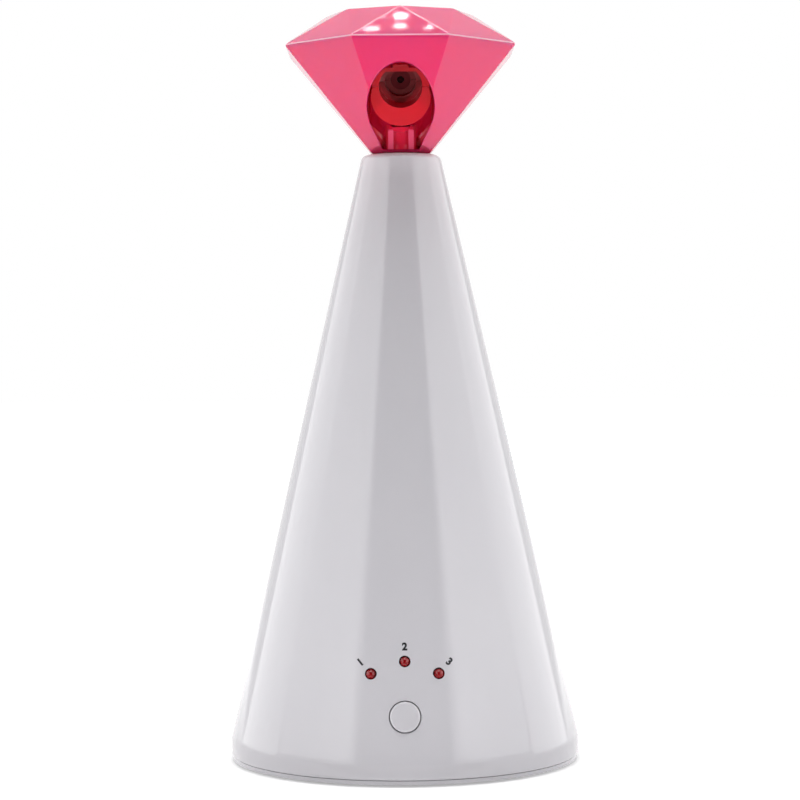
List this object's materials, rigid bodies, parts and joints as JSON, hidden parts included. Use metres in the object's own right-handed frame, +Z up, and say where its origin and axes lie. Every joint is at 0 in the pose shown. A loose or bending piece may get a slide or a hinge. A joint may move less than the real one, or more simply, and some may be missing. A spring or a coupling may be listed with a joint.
{
  "type": "automatic cat laser toy",
  "caption": "Free-standing cone whose motor turns a faceted head; a tilting laser barrel in the head looks out of a drop-shaped window, with a push button and lamps at the foot.",
  "frame": {"origin": "centre of the foot, on the surface the toy stands on", "axes": "+Z up along the cone, -Y out of the front with the button, lamps and window, +X to the right seen from the front"},
  "size_m": [0.114, 0.114, 0.2437],
  "materials": {
    "white_abs": "moulded, high gloss",
    "pink_abs": "moulded, translucent, high gloss",
    "crimson_abs": "moulded, satin gloss",
    "nylon": "moulded, dull",
    "black_plastic": "moulded, dull",
    "steel": "plated",
    "brass": "drawn",
    "rubber": "moulded, dull",
    "lamp_red": "clear tinted dome",
    "board": "laminate with solder mask",
    "cell_wrap": "printed sleeve, bare of print",
    "lens": "clear",
    "silver_abs": "moulded"
  },
  "bodies": {
    "housing": {"cone_shell": "white_abs", "base_cover": "white_abs", "rubber_feet": "rubber", "base_screws": "steel", "battery_cells": "cell_wrap", "battery_springs": "steel", "battery_plates": "steel", "control_board": "board", "board_screws": "steel", "mode_switch": "black_plastic", "status_lamps": "lamp_red", "gear_case": "silver_abs", "gear_cover": "silver_abs", "gear_pins": "steel", "case_screws": "steel", "motor_can": "steel", "motor_end_cap": "black_plastic", "motor_screws": "steel", "brush_block": "black_plastic", "brush_leaves": "brass", "neck_bush": "nylon"},
    "head": {"head_shell": "pink_abs", "head_crown": "pink_abs", "head_yoke": "crimson_abs", "yoke_screws": "steel", "drive_shaft": "steel", "gear_output": "nylon", "slip_drum": "black_plastic", "slip_bands": "brass", "neck_clip": "steel"},
    "laser": {"laser_cradle": "crimson_abs", "laser_hood": "crimson_abs", "laser_module": "brass", "laser_lens": "lens", "laser_diode": "steel"},
    "first_gear": {"gear_first": "nylon"},
    "second_gear": {"gear_second": "nylon"},
    "rotor": {"motor_shaft": "steel", "motor_pinion": "brass"},
    "button": {"button_cap": "white_abs", "switch_plunger": "nylon"},
    "door": {"battery_door": "white_abs", "door_screw": "steel"}
  },
  "joints": [
    {"name": "head_turn", "type": "hinge", "parent": "housing", "child": "head", "pos_m": [0, 0, 0.193], "axis": [0, 0, 1], "continuous": true},
    {"name": "second_gear_spin", "type": "hinge", "parent": "housing", "child": "second_gear", "pos_m": [0.015, 0, 0.11], "axis": [0, 0, 1], "continuous": true},
    {"name": "first_gear_spin", "type": "hinge", "parent": "housing", "child": "first_gear", "pos_m": [0.0093, 0.01112, 0.11], "axis": [0, 0, 1], "continuous": true},
    {"name": "motor_spin", "type": "hinge", "parent": "housing", "child": "rotor", "pos_m": [-0.00292, 0.00851, 0.098], "axis": [0, 0, 1], "continuous": true},
    {"name": "laser_tilt", "type": "hinge", "parent": "head", "child": "laser", "pos_m": [0, -0.00395, 0.22027], "axis": [1, 0, 0], "range_deg": [-6, 8]},
    {"name": "button_press", "type": "slide", "parent": "housing", "child": "button", "axis": [0, 0.9742, -0.2258], "range_m": [0, 0.0006], "stiffness_N_per_m": 100},
    {"name": "door_swing", "type": "hinge", "parent": "housing", "child": "door", "pos_m": [0, 0.02335, 0.0016], "axis": [1, 0, 0], "range_deg": [0, 85]}
  ],
  "couplings": [
    {"joint": "second_gear_spin", "follows": "head_turn", "ratio": -5},
    {"joint": "first_gear_spin", "follows": "head_turn", "ratio": 20},
    {"joint": "motor_spin", "follows": "head_turn", "ratio": -80}
  ]
}
